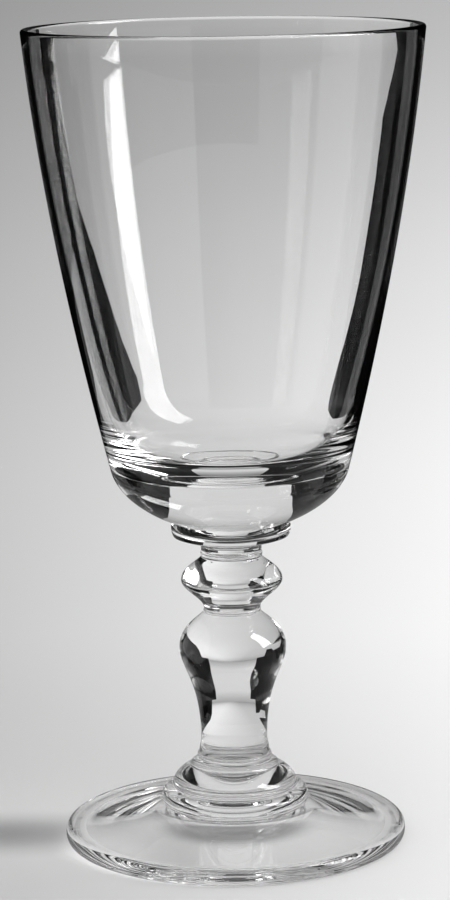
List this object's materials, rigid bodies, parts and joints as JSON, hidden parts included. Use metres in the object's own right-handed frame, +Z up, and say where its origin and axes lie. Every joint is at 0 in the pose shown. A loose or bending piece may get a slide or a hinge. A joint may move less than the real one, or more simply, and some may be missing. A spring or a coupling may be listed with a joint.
{
  "type": "water goblet",
  "caption": "Clear blown-glass water goblet: flared round-bottomed bowl, merese, knop and baluster stem, stacked rings and a domed foot with a rolled rim.",
  "frame": {"origin": "centre of the ring that the foot rests on, on the surface it stands on", "axes": "+Z up along the goblet's axis, from the foot to the rim; X and Y are any two square directions, because the piece is round"},
  "size_m": [0.083, 0.083, 0.172],
  "materials": {
    "bowl_glass": "clear blown glass, fire-polished, with a few fine seeds",
    "stem_glass": "clear solid glass worked hot, glossy, with faint tool lines",
    "foot_glass": "clear solid glass, glossy above, with a finely ground resting ring"
  },
  "bodies": {
    "root": {"foot": "foot_glass", "base_ring": "stem_glass", "shoulder_ring": "stem_glass", "stem_ring": "stem_glass", "baluster": "stem_glass", "knop": "stem_glass", "merese": "stem_glass", "bowl": "bowl_glass"}
  },
  "joints": []
}
